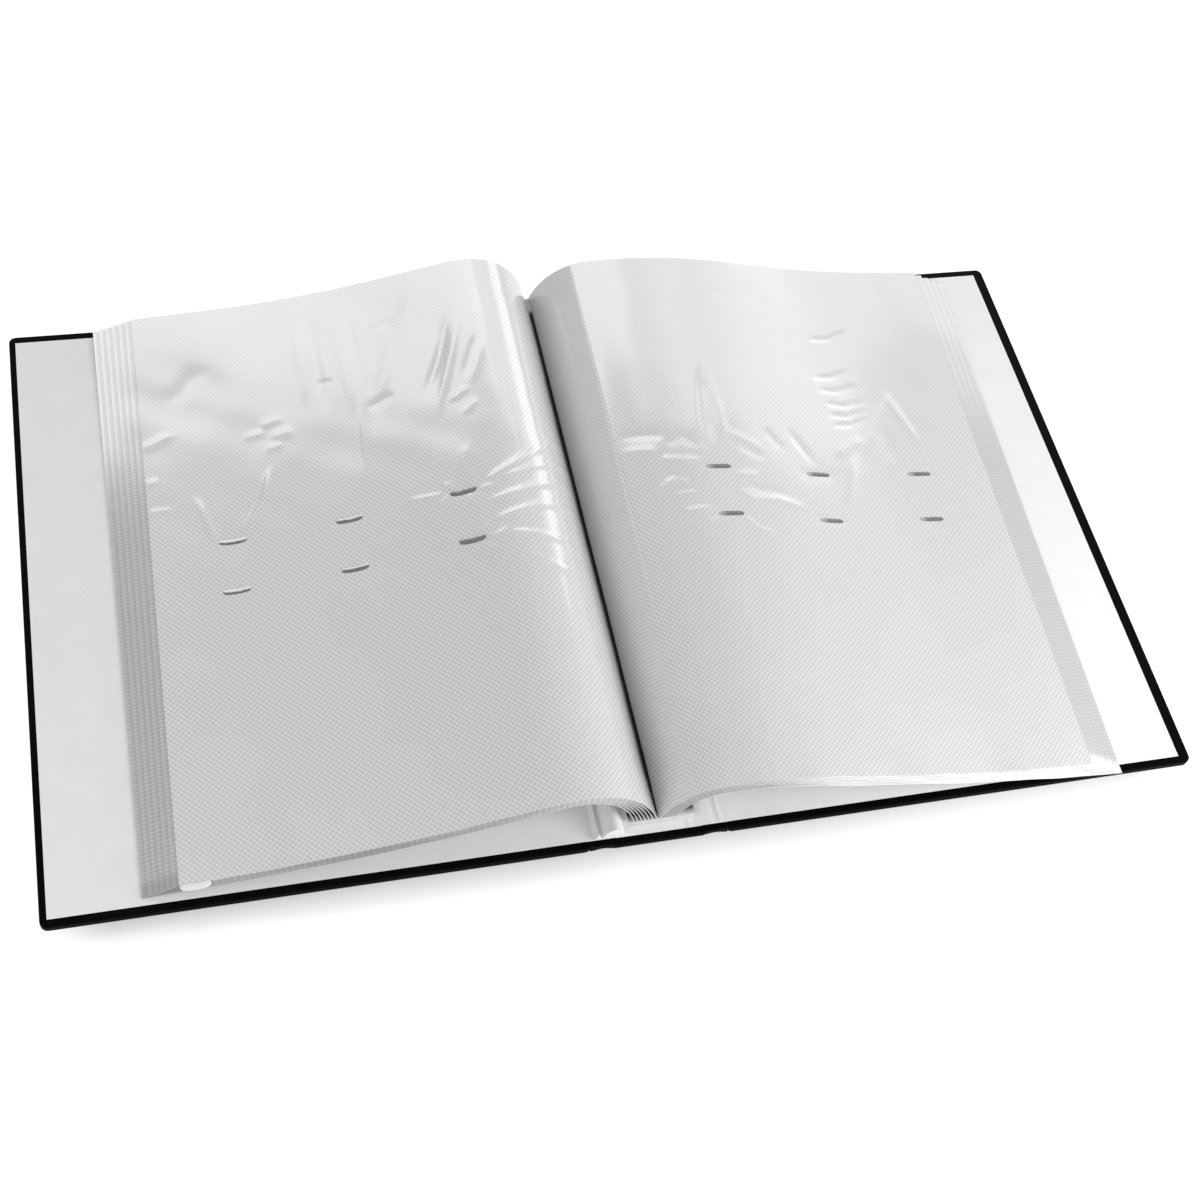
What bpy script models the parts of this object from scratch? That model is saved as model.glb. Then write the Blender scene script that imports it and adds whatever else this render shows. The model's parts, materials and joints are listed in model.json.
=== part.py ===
"""Slip-in photo album lying open on its covers.

Two wrapped boards and a wrapped spine board form the case. The leaves are film sleeves: each has a stub at the
binding strip, a crease, and a page of two films with the photo pocket between them. Metres, +Z up, spine along Y.
"""

import math
from collections import namedtuple

import bmesh
import bpy
import numpy as np

# Case: boards, wrap and papers
COVER_HEIGHT = 0.230
BOARD_WIDTH = 0.1705
BOARD_THICK = 0.0025
SPINE_WIDTH = 0.031
SPINE_BOARD_THICK = 0.002
GROOVE_WIDTH = 0.007
WRAP_THICK = 0.00035
TURN_IN = 0.012
PAPER_THICK = 0.0002
ENDPAPER_FORE_MARGIN = 0.0045
ENDPAPER_END_MARGIN = 0.002
ENDPAPER_GROOVE_MARGIN = 0.0005
LINING_MARGIN = 0.001
GROOVE_AXIS_Z = 0.002

# Binding: the strip that holds the roots, and the paper rolled up beside it
BINDING_WIDTH = 0.025
BINDING_THICK = 0.00235
FOLD_WIDTH = 0.0036
FOLD_HEIGHT = 0.0045
FOLD_STEPS = 8

# Leaves
LEAF_LENGTH = 0.163
LEAF_HEIGHT = 0.224
LEAF_CENTRE_Y = 0.0026
FILM_THICK = 0.00012
POCKET_GAP = 0.00016
WELD_WIDTH = 0.003
WELD_RAMP = 0.0004
ROOT_START = 0.001
ROOT_PITCH = 0.0014
STRIP_LENGTH = 0.010
TURNING_COUNT = 2
PAGE_STEPS = 9
LINE_SAMPLES = 400
STEEPEST_FALL = math.radians(13)

# Left leaves: the top stub's length and rise, and how a page bows from its crease to its fore edge
LEFT_COUNT = 7
LEFT_STUB = 0.026
LEFT_RISE = math.radians(60)
LEFT_CROWN = math.radians(14)
LEFT_CROWN_LENGTH = 0.045
LEFT_FLATTEN = math.radians(7)
LEFT_FLATTEN_START = 0.060

# Right leaves
RIGHT_COUNT = 5
RIGHT_STUB = 0.0205
RIGHT_RISE = math.radians(58)
RIGHT_CROWN = math.radians(16)
RIGHT_CROWN_LENGTH = 0.060
RIGHT_FLATTEN = math.radians(6)
RIGHT_FLATTEN_START = 0.070

# Clearances
SEAT = 0.0001
MOVING_GAP = 0.0003
LEAF_GAP = 0.00025
CREASE_GAP = 0.0016
CARRIED_GAP = 0.0032
CUT_PAST = 0.001

Side = namedtuple("Side", "name sign count stub rise crown crown_length flatten flatten_start")
LEFT = Side(
    "left", -1, LEFT_COUNT, LEFT_STUB, LEFT_RISE, LEFT_CROWN, LEFT_CROWN_LENGTH, LEFT_FLATTEN, LEFT_FLATTEN_START
)
RIGHT = Side(
    "right", 1, RIGHT_COUNT, RIGHT_STUB, RIGHT_RISE, RIGHT_CROWN, RIGHT_CROWN_LENGTH, RIGHT_FLATTEN,
    RIGHT_FLATTEN_START,
)

LEAF_THICK = 2 * FILM_THICK + POCKET_GAP
BOARD_INNER = SPINE_WIDTH / 2 + GROOVE_WIDTH
BOARD_OUTER = BOARD_INNER + BOARD_WIDTH
GROOVE_AXIS_U = SPINE_WIDTH / 2 + GROOVE_WIDTH / 2
BOARD_BASE = WRAP_THICK + SEAT
WRAP_TOP = BOARD_BASE + BOARD_THICK + SEAT + WRAP_THICK
ENDPAPER_TOP = WRAP_TOP + SEAT + PAPER_THICK
SPINE_WRAP_TOP = BOARD_BASE + SPINE_BOARD_THICK + SEAT + WRAP_THICK
LINING_TOP = SPINE_WRAP_TOP + SEAT + PAPER_THICK
BINDING_TOP = LINING_TOP + SEAT + BINDING_THICK
ROOT_Z = BINDING_TOP + MOVING_GAP
LEAF_LOW_Y = LEAF_CENTRE_Y - LEAF_HEIGHT / 2
LEAF_HIGH_Y = LEAF_CENTRE_Y + LEAF_HEIGHT / 2


def finish(name, colour, roughness, alpha=1.0):
    """Principled material of one colour, roughness and opacity."""
    made = bpy.data.materials.new(name)
    made.use_nodes = True
    shader = made.node_tree.nodes["Principled BSDF"]
    shader.inputs["Base Color"].default_value = (*colour, 1.0)
    shader.inputs["Roughness"].default_value = roughness
    shader.inputs["Metallic"].default_value = 0.0
    shader.inputs["Alpha"].default_value = alpha
    return made


def link(made, holder):
    """Puts an object in the scene under the empty that stands on its joint's axis."""
    bpy.context.scene.collection.objects.link(made)
    made.parent = holder


def pivot(name, u, z, side, holder=None):
    """Empty on a joint's axis, parented to the empty of the body that carries it."""
    made = bpy.data.objects.new(name, None)
    made.empty_display_size = ROOT_Z
    link(made, holder)
    made["place"] = (side.sign * u, 0.0, z)
    base = holder["place"] if holder else (0.0, 0.0, 0.0)
    made.location = [a - b for a, b in zip(made["place"], base)]
    return made


def solid(name, points, faces, material, holder=None):
    """Closed mesh object with its normals outwards and its origin on its holder."""
    base = np.array(holder["place"]) if holder else np.zeros(3)
    mesh = bpy.data.meshes.new(name)
    mesh.from_pydata((points - base).tolist(), [], faces)
    shell = bmesh.new()
    shell.from_mesh(mesh)
    bmesh.ops.recalc_face_normals(shell, faces=shell.faces)
    shell.to_mesh(mesh)
    shell.free()
    mesh.materials.append(material)
    made = bpy.data.objects.new(name, mesh)
    link(made, holder)
    return made


def box(name, low, high, material, holder=None, sign=1):
    """Box from a low to a high corner, mirrored across the spine where sign is -1."""
    corners = np.array([(x, y, z) for x in (low[0], high[0]) for y in (low[1], high[1]) for z in (low[2], high[2])])
    corners[:, 0] *= sign
    faces = [(0, 1, 3, 2), (4, 6, 7, 5), (0, 4, 5, 1), (2, 3, 7, 6), (0, 2, 6, 4), (1, 5, 7, 3)]
    return solid(name, corners, faces, material, holder)


def tube(sections, name, material, holder):
    """Solid through a row of four-cornered sections, closed at both ends."""
    count = len(sections)
    faces = [(0, 1, 2, 3), tuple(4 * count - 4 + corner for corner in (3, 2, 1, 0))]
    for start in range(0, 4 * (count - 1), 4):
        for corner in range(4):
            after = (corner + 1) % 4
            faces.append((start + corner, start + after, start + 4 + after, start + 4 + corner))
    return solid(name, sections.reshape(-1, 3), faces, material, holder)


def sheet(name, line, low, high, side, material, holder=None):
    """Sheet as long as a leaf is high, whose section runs from low to high across a line of u, z and heading."""
    u, z, heading = line
    low = np.broadcast_to(low, u.shape)
    high = np.broadcast_to(high, u.shape)
    corners = ((low, LEAF_LOW_Y), (high, LEAF_LOW_Y), (high, LEAF_HIGH_Y), (low, LEAF_HIGH_Y))
    sections = np.empty((len(u), 4, 3))
    for index, (offset, y) in enumerate(corners):
        sections[:, index, 0] = side.sign * (u - np.sin(heading) * offset)
        sections[:, index, 1] = y
        sections[:, index, 2] = z + np.cos(heading) * offset
    return tube(sections, name, material, holder)


def cut(body, cutter):
    """Takes a hidden cutter out of a body."""
    cutter.hide_render = True
    cutter.display_type = "WIRE"
    step = body.modifiers.new(cutter.name, "BOOLEAN")
    step.operation = "DIFFERENCE"
    step.solver = "EXACT"
    step.object = cutter


def tray(name, low_u, high_u, walled, board_thick, top, material, holder=None, sign=1):
    """Wrap around a board: skin below, walls at head and tail, turn-ins above, and a fore wall where walled."""
    half = COVER_HEIGHT / 2
    body = box(name, (low_u, -half, 0), (high_u, half, top), material, holder, sign)
    inner_low = low_u - CUT_PAST
    cavity_high = high_u - WRAP_THICK if walled else high_u + CUT_PAST
    window_high = high_u - TURN_IN if walled else high_u + CUT_PAST
    cavity_half = half - WRAP_THICK
    cavity_top = BOARD_BASE + board_thick + SEAT
    cavity = box(
        name + "_cavity",
        (inner_low, -cavity_half, WRAP_THICK),
        (cavity_high, cavity_half, cavity_top),
        material,
        holder,
        sign,
    )
    window = box(
        name + "_window",
        (inner_low, TURN_IN - half, BOARD_BASE),
        (window_high, half - TURN_IN, top + CUT_PAST),
        material,
        holder,
        sign,
    )
    cut(body, cavity)
    cut(body, window)


def ease(t):
    """Smooth step from 0 to 1."""
    t = np.clip(t, 0.0, 1.0)
    return t * t * (3.0 - 2.0 * t)


def page_heading(side, s, tilt):
    """Heading of a page at the distance s from its crease: a crown that turns over, then a flattening tail."""
    crown = side.crown * (1.0 - ease(s / side.crown_length))
    tail = side.flatten * ease((s - side.flatten_start) / (LEAF_LENGTH - side.stub - side.flatten_start))
    return tilt + crown + tail


def page_line(side, crease, tilt, stations):
    """u, z and heading of a page's middle line at the given distances from its crease."""
    s = np.linspace(0.0, LEAF_LENGTH, LINE_SAMPLES)
    middle = page_heading(side, (s[1:] + s[:-1]) / 2, tilt)
    u = np.concatenate(([0.0], np.cumsum(np.cos(middle) * np.diff(s))))
    z = np.concatenate(([0.0], np.cumsum(np.sin(middle) * np.diff(s))))
    at_u = crease[0] + np.interp(stations, s, u)
    at_z = crease[1] + np.interp(stations, s, z)
    return at_u, at_z, page_heading(side, stations, tilt)


def stub_length(side, leaf):
    """Length of a leaf's stub: each lower one is shorter, so that the falling pages keep their gap."""
    spacing = LEAF_THICK + LEAF_GAP + ROOT_PITCH * math.sin(STEEPEST_FALL)
    return side.stub - (side.count - leaf) * spacing / math.sin(side.rise + STEEPEST_FALL)


def root_u(side, leaf):
    """Distance of a leaf's root from the gutter."""
    return ROOT_START + ROOT_PITCH * (side.count - leaf)


def crease_point(side, leaf):
    """u and z of a leaf's crease."""
    length = stub_length(side, leaf)
    return root_u(side, leaf) + length * math.cos(side.rise), ROOT_Z + length * math.sin(side.rise)


def page_tilt(side):
    """Tilt at which the lowest page's fore edge comes to lie just above the endpaper."""
    crease = crease_point(side, 1)
    length = LEAF_LENGTH - stub_length(side, 1)
    end_u, end_z, _ = page_line(side, (0.0, 0.0), 0.0, np.array([length]))
    drop = ENDPAPER_TOP + MOVING_GAP + LEAF_THICK / 2 - crease[1]
    return math.asin(drop / math.hypot(end_u[0], end_z[0])) - math.atan2(end_z[0], end_u[0])


def cover(side, word, wrap, board, paper):
    """One cover: wrap, board, endpaper and groove cloth, all turning on the groove's axis."""
    axis = pivot(word + "_groove_axis", GROOVE_AXIS_U, GROOVE_AXIS_Z, side)
    half = COVER_HEIGHT / 2
    tray(word + "_wrap", BOARD_INNER, BOARD_OUTER, True, BOARD_THICK, WRAP_TOP, wrap, axis, side.sign)
    board_half = half - WRAP_THICK - SEAT
    box(
        word + "_board",
        (BOARD_INNER, -board_half, BOARD_BASE),
        (BOARD_OUTER - WRAP_THICK - SEAT, board_half, BOARD_BASE + BOARD_THICK),
        board,
        axis,
        side.sign,
    )
    paper_half = half - ENDPAPER_END_MARGIN
    box(
        word + "_endpaper",
        (BOARD_INNER + ENDPAPER_GROOVE_MARGIN, -paper_half, WRAP_TOP + SEAT),
        (BOARD_OUTER - ENDPAPER_FORE_MARGIN, paper_half, ENDPAPER_TOP),
        paper,
        axis,
        side.sign,
    )
    box(
        word + "_groove_cloth",
        (SPINE_WIDTH / 2 + MOVING_GAP, -half, 0),
        (BOARD_INNER - MOVING_GAP, half, WRAP_THICK),
        wrap,
        axis,
        side.sign,
    )


def spine(wrap, board, paper, cloth):
    """Spine board in its wrap, the lining paper and the binding strip."""
    half_width = SPINE_WIDTH / 2
    half = COVER_HEIGHT / 2
    tray("spine_wrap", -half_width, half_width, False, SPINE_BOARD_THICK, SPINE_WRAP_TOP, wrap)
    board_half = half - WRAP_THICK - SEAT
    box(
        "spine_board",
        (-half_width, -board_half, BOARD_BASE),
        (half_width, board_half, BOARD_BASE + SPINE_BOARD_THICK),
        board,
    )
    lining_x = half_width - LINING_MARGIN
    lining_y = half - ENDPAPER_END_MARGIN
    box("spine_lining", (-lining_x, -lining_y, SPINE_WRAP_TOP + SEAT), (lining_x, lining_y, LINING_TOP), paper)
    strip_half = BINDING_WIDTH / 2
    box(
        "binding_strip",
        (-strip_half, LEAF_LOW_Y, LINING_TOP + SEAT),
        (strip_half, LEAF_HIGH_Y, BINDING_TOP),
        cloth,
    )


def endpaper_fold(side, word, paper):
    """Roll of endpaper between the groove and the binding strip: half an ellipse of thin paper."""
    turn = np.linspace(0.0, math.pi, FOLD_STEPS + 1)
    radius = FOLD_WIDTH / 2
    centre = BINDING_WIDTH / 2 + MOVING_GAP + PAPER_THICK / 2 + radius
    u = centre - radius * np.cos(turn)
    z = LINING_TOP + SEAT + FOLD_HEIGHT * np.sin(turn)
    heading = np.arctan2(FOLD_HEIGHT * np.cos(turn), radius * np.sin(turn))
    sheet(word + "_endpaper_fold", (u, z, heading), -PAPER_THICK / 2, PAPER_THICK / 2, side, paper)


def pocket(name, side, crease, tilt, start, end, film, holder):
    """A page's two films from start to end; the front film is thickened at both edges, where the sleeve is welded."""
    inside = np.linspace(start + WELD_WIDTH + WELD_RAMP, end - WELD_WIDTH - WELD_RAMP, PAGE_STEPS)
    stations = np.concatenate(([start, start + WELD_WIDTH], inside, [end - WELD_WIDTH, end]))
    line = page_line(side, crease, tilt, stations)
    pocket_face = np.full(stations.shape, POCKET_GAP / 2)
    pocket_face[[0, 1, -2, -1]] = 0.0
    outer_face = LEAF_THICK / 2
    sheet(name + "_front_film", line, pocket_face, outer_face, side, film, holder)
    sheet(name + "_back_film", line, -outer_face, -POCKET_GAP / 2, side, film, holder)


def stub(side, leaf, name, film, holder):
    """Flat welded strip from the binding to the crease."""
    s = np.array([0.0, stub_length(side, leaf) - CREASE_GAP / 2])
    u = root_u(side, leaf) + s * math.cos(side.rise)
    z = ROOT_Z + s * math.sin(side.rise)
    line = (u, z, np.full(2, side.rise))
    sheet(name + "_stub", line, -LEAF_THICK / 2, LEAF_THICK / 2, side, film, holder)


def leaves(side, film):
    """All leaves of one side; the top ones have a hinge strip, and their pages turn on it, each on the page below."""
    tilt = page_tilt(side)
    below = None
    for leaf in range(1, side.count + 1):
        name = f"{side.name}_leaf_{leaf}"
        crease = crease_point(side, leaf)
        root_axis = pivot(name + "_root_axis", root_u(side, leaf), ROOT_Z, side)
        crease_axis = pivot(name + "_crease_axis", crease[0], crease[1], side, root_axis)
        stub(side, leaf, name, film, root_axis)
        end = LEAF_LENGTH - stub_length(side, leaf)
        if leaf <= side.count - TURNING_COUNT:
            pocket(name, side, crease, tilt, CREASE_GAP / 2, end, film, crease_axis)
            continue
        line = page_line(side, crease, tilt, np.linspace(CREASE_GAP / 2, STRIP_LENGTH, 3))
        sheet(name + "_hinge_strip", line, -LEAF_THICK / 2, LEAF_THICK / 2, side, film, crease_axis)
        gap = CARRIED_GAP if below else CREASE_GAP
        turn_u, turn_z, _ = page_line(side, crease, tilt, np.array([STRIP_LENGTH + gap / 2]))
        below = pivot(name + "_turn_axis", turn_u[0], turn_z[0], side, below or crease_axis)
        pocket(name, side, crease, tilt, STRIP_LENGTH + gap, end, film, below)


for old in list(bpy.data.objects):
    bpy.data.objects.remove(old)

black_wrap = finish("black_wrap", (0.02, 0.02, 0.022), 0.45)
greyboard = finish("greyboard", (0.45, 0.43, 0.40), 0.9)
white_paper = finish("white_paper", (0.85, 0.85, 0.86), 0.8)
dark_cloth = finish("dark_cloth", (0.03, 0.03, 0.03), 0.9)
clear_film = finish("clear_film", (0.78, 0.79, 0.81), 0.25, 0.55)

spine(black_wrap, greyboard, white_paper, dark_cloth)
cover(LEFT, "front", black_wrap, greyboard, white_paper)
cover(RIGHT, "back", black_wrap, greyboard, white_paper)
endpaper_fold(LEFT, "front", white_paper)
endpaper_fold(RIGHT, "back", white_paper)
leaves(LEFT, clear_film)
leaves(RIGHT, clear_film)
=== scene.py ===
# %% [markdown]
# # A slip-in photo album, lying open
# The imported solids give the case, the binding and twelve film leaves at their real size. This lesson
# dresses them: the case gets its wrap and papers, and each leaf becomes one thin welded sleeve that
# arches out of the binding. Everything is in metres, with +X across the opening, +Y along the spine and
# +Z up.

# %% Load the frame
import json
import math
from collections import namedtuple

import bpy
import numpy as np
from mathutils import Matrix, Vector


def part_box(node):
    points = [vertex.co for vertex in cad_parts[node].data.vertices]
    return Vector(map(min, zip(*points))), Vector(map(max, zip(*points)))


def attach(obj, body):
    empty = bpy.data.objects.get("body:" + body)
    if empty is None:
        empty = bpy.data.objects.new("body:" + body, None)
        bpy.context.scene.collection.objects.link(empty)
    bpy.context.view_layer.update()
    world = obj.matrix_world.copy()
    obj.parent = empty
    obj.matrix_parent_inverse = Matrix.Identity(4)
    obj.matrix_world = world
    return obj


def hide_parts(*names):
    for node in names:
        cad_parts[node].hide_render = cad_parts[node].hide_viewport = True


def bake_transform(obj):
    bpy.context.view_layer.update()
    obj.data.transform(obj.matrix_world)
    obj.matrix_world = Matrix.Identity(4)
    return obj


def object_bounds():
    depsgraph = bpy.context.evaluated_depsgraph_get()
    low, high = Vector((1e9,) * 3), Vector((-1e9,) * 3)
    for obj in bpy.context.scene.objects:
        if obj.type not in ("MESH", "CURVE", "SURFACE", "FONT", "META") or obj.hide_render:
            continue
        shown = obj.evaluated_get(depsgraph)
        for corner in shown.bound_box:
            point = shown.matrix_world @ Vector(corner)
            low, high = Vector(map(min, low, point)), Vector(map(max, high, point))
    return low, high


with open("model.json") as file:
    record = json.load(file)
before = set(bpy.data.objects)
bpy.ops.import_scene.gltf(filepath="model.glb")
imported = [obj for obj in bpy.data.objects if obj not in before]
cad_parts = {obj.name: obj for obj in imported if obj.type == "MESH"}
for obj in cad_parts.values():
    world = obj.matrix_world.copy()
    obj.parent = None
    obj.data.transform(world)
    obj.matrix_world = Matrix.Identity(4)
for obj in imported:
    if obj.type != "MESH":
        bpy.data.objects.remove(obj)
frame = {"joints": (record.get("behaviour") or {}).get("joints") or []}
cad_low, cad_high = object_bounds()
joint = {row["name"]: row for row in frame["joints"]}
MM = 0.001
print("CAD box", [round(v, 4) for v in cad_low], [round(v, 4) for v in cad_high])

# %% [markdown]
# ## Two ways to make a mesh
# Paper, cloth and film are thin sheets, and wrapped boards are slabs with soft edges. A sheet could be a
# plane with a Solidify modifier, but then its rim would follow no exact size. Here both are worked out as
# arrays: a sheet is a grid of points with a second grid below it, and a slab is a rounded outline carried
# up a rounded edge.

# %% Sheets from arrays
SHARP_EDGE = math.radians(50)
UV_NAME = "film_metres"


def ease(t):
    """Smooth step: 3t squared minus 2t cubed, held at 0 and 1 outside the unit range."""
    t = np.clip(t, 0.0, 1.0)
    return t * t * (3.0 - 2.0 * t)


def piece(name, points, faces, material, uv=None):
    """Object at the origin whose place is in its mesh, smooth except where faces meet at a sharp
    angle."""
    mesh = bpy.data.meshes.new(name)
    mesh.from_pydata(points.tolist(), [], faces)
    if uv is not None:
        corner_points = np.empty(len(mesh.loops), dtype=np.int32)
        mesh.loops.foreach_get("vertex_index", corner_points)
        layer = mesh.uv_layers.new(name=UV_NAME)
        layer.uv.foreach_set("vector", uv[corner_points].astype(np.float32).ravel())
    mesh.shade_smooth()
    mesh.set_sharp_from_angle(angle=SHARP_EDGE)
    mesh.materials.append(material)
    made = bpy.data.objects.new(name, mesh)
    bpy.context.scene.collection.objects.link(made)
    print(f"{name}: {len(points)} points, {len(faces)} faces")
    return made


def below(grid, thick):
    """Grid one thickness under a grid that faces up, measured along its normal."""
    normal = np.cross(np.gradient(grid, axis=0), np.gradient(grid, axis=1))
    normal *= np.sign(normal[..., 2].mean())
    return grid - thick * normal / np.linalg.norm(normal, axis=2, keepdims=True)


def shell(name, top, bottom, material, uv=None):
    """Closed sheet between two grids of the same shape, with a wall of quads round their border."""
    if np.cross(top[-1, 0] - top[0, 0], top[0, -1] - top[0, 0])[2] < 0:
        top, bottom = top[:, ::-1], bottom[:, ::-1]
        uv = None if uv is None else uv[:, ::-1]
    points = np.concatenate((top.reshape(-1, 3), bottom.reshape(-1, 3)))
    index = np.arange(top.shape[0] * top.shape[1]).reshape(top.shape[:2])
    corners = (index[:-1, :-1], index[1:, :-1], index[1:, 1:], index[:-1, 1:])
    upper = np.stack(corners, axis=-1).reshape(-1, 4)
    around = np.concatenate((index[0, :-1], index[:-1, -1], index[-1, :0:-1], index[:0:-1, 0]))
    after = np.roll(around, -1)
    walls = np.stack((around, after, after + index.size, around + index.size), axis=-1)
    faces = np.concatenate((upper, upper[:, ::-1] + index.size, walls))
    flat_uv = None if uv is None else np.tile(uv.reshape(-1, 2), (2, 1))
    return piece(name, points, faces.tolist(), material, flat_uv)


# %% Wrapped slab
ARC_STEPS = 6


def slab(name, low, high, corner, edge, material):
    """Rounded box: its plan is four quarter circles of the corner radius, drawn in at the top and the
    bottom by a quarter circle of the edge radius."""
    quarter = np.linspace(0.0, math.pi / 2, ARC_STEPS)
    turn = (quarter + np.array([[0.0], [0.5], [1.0], [1.5]]) * math.pi).ravel()
    left, right = low[0] + corner, high[0] - corner
    near, far = low[1] + corner, high[1] - corner
    centre_x = np.repeat([right, left, left, right], ARC_STEPS)
    centre_y = np.repeat([far, far, near, near], ARC_STEPS)
    drawn_in = edge * (1 - np.concatenate((np.sin(quarter), np.cos(quarter))))[:, None]
    lower = low[2] + edge * (1 - np.cos(quarter))
    upper = high[2] - edge * (1 - np.sin(quarter))
    height = np.concatenate((lower, upper))
    x = centre_x + (corner - drawn_in) * np.cos(turn)
    y = centre_y + (corner - drawn_in) * np.sin(turn)
    rings = np.stack((x, y, np.broadcast_to(height[:, None], x.shape)), axis=-1)
    index = np.arange(x.size).reshape(x.shape)
    beside = np.roll(index, -1, axis=1)
    sides = np.stack((index[:-1], beside[:-1], beside[1:], index[1:]), axis=-1).reshape(-1, 4)
    faces = sides.tolist() + [index[0, ::-1].tolist(), index[-1].tolist()]
    return piece(name, rings.reshape(-1, 3), faces, material)


# %% [markdown]
# ## Shader maths as Python
# Node trees are hard to read as a list of links. A small class wraps one socket, so that a mask can be
# written as an expression such as 1 - edge * 0.4, and each operator adds its Math node. Every other node
# comes from one method.


# %% Shader class
class Shade:
    """One shader value: a socket in a node tree that Python's operators work on."""

    def __init__(self, tree, socket=None):
        self.tree = tree
        self.socket = socket

    def node(self, kind, inputs, out=0, **settings):
        """Adds a node: its settings first, then the value or the link of each named socket."""
        made = self.tree.nodes.new(kind)
        for key, value in settings.items():
            setattr(made, key, value)
        for key, value in inputs.items():
            if isinstance(value, Shade):
                self.tree.links.new(value.socket, made.inputs[key])
            else:
                made.inputs[key].default_value = value
        return Shade(self.tree, made.outputs[out] if made.outputs else None)

    def math(self, operation, *terms):
        """A Math node on these terms."""
        return self.node("ShaderNodeMath", dict(enumerate(terms)), operation=operation)

    def __add__(self, other):
        return self.math("ADD", self, other)

    def __radd__(self, other):
        return self.math("ADD", other, self)

    def __sub__(self, other):
        return self.math("SUBTRACT", self, other)

    def __rsub__(self, other):
        return self.math("SUBTRACT", other, self)

    def __mul__(self, other):
        return self.math("MULTIPLY", self, other)

    def __rmul__(self, other):
        return self.math("MULTIPLY", other, self)

    def __abs__(self):
        return self.math("ABSOLUTE", self)

    def wave(self, pitch):
        """Cosine of the value with this pitch, from 0 to 1."""
        return self.math("COSINE", self * (2 * math.pi / pitch)) * 0.5 + 0.5

    def rise(self, start, end):
        """Smooth step of the value from 0 at start to 1 at end."""
        inputs = {"Value": self, "From Min": start, "From Max": end}
        return self.node("ShaderNodeMapRange", inputs, interpolation_type="SMOOTHSTEP")

    def mix(self, low, high):
        """Colour between low and high by this value."""
        inputs = {"Factor": self, 6: low, 7: high}
        return self.node("ShaderNodeMix", inputs, out=2, data_type="RGBA")


def grey(level):
    """Neutral colour of one level."""
    return (level, level, level, 1.0)


def new_finish(name):
    """Material with an empty tree, and a Shade to build it with."""
    made = bpy.data.materials.new(name)
    made.use_nodes = True
    made.node_tree.nodes.clear()
    return made, Shade(made.node_tree)


def surface(start, **inputs):
    """Principled shader with these socket values, joined to the material's output."""
    named = {key.replace("_", " ").title().replace("Ior", "IOR"): value for key, value in inputs.items()}
    shader = start.node("ShaderNodeBsdfPrincipled", named)
    start.node("ShaderNodeOutputMaterial", {"Surface": shader})


# %% [markdown]
# ## Black wrap
# The case is covered with one sheet of black laminated paper. It is nearly black and satin, with a fine
# pressed grain that only shows in a raking light. The grain could be modelled, but it is far too fine, so
# noise on the object's own coordinates drives a weak bump and the roughness.


# %% Black wrap finish
def wrap_finish():
    """Near-black paper with a pressed grain of about half a millimetre and slightly uneven gloss."""
    made, start = new_finish("pressed_black_wrap")
    place = start.node("ShaderNodeTexCoord", {}, out="Object")
    grain = start.node("ShaderNodeTexVoronoi", {"Vector": place, "Scale": 1900.0}, feature="SMOOTH_F1")
    cloud = start.node("ShaderNodeTexNoise", {"Vector": place, "Scale": 60.0, "Detail": 4.0})
    bump = start.node("ShaderNodeBump", {"Strength": 0.25, "Distance": 0.0002, "Height": grain})
    tone = cloud.rise(0.3, 0.75).mix(grey(0.001), grey(0.002))
    surface(start, base_color=tone, roughness=0.5 + cloud * 0.15, specular_ior_level=0.03, normal=bump)
    return made


black_wrap = wrap_finish()
print("finish", black_wrap.name)

# %% [markdown]
# ## Paper
# Endpapers and spine lining are smooth uncoated white paper. Real paper is never one flat white: its
# fibres lie in soft clouds. One noise would give either clouds or tooth, so two noises of very different
# scale are added up.


# %% Paper finish
def paper_finish():
    """Uncoated white paper with faint clouds and a fine tooth."""
    made, start = new_finish("uncoated_white_paper")
    place = start.node("ShaderNodeTexCoord", {}, out="Object")
    cloud = start.node("ShaderNodeTexNoise", {"Vector": place, "Scale": 90.0, "Detail": 5.0})
    tooth = start.node("ShaderNodeTexNoise", {"Vector": place, "Scale": 2500.0, "Detail": 3.0})
    bump = start.node("ShaderNodeBump", {"Strength": 0.12, "Distance": 0.0001, "Height": tooth})
    tone = (cloud * 0.5 + tooth * 0.5).rise(0.35, 0.65).mix(grey(0.80), grey(0.83))
    surface(start, base_color=tone, roughness=0.7 + tooth * 0.15, specular_ior_level=0.2, normal=bump)
    return made


white_paper = paper_finish()
print("finish", white_paper.name)

# %% [markdown]
# ## Binding cloth
# The leaves' roots sit in a glued cloth strip, given a near-black tone as painted shade, so that the deep
# gutter looks like a black line.
# Threads could be modelled one by one, but so little of the cloth shows that a pattern does: two waves at
# right angles make a plain weave. At head and tail the pale glue has run out over it.

# %% Binding cloth finish
THREAD = 0.45 * MM
GLUE_FADE = (106 * MM, 109 * MM)
GLUE_TONE = 0.6


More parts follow.
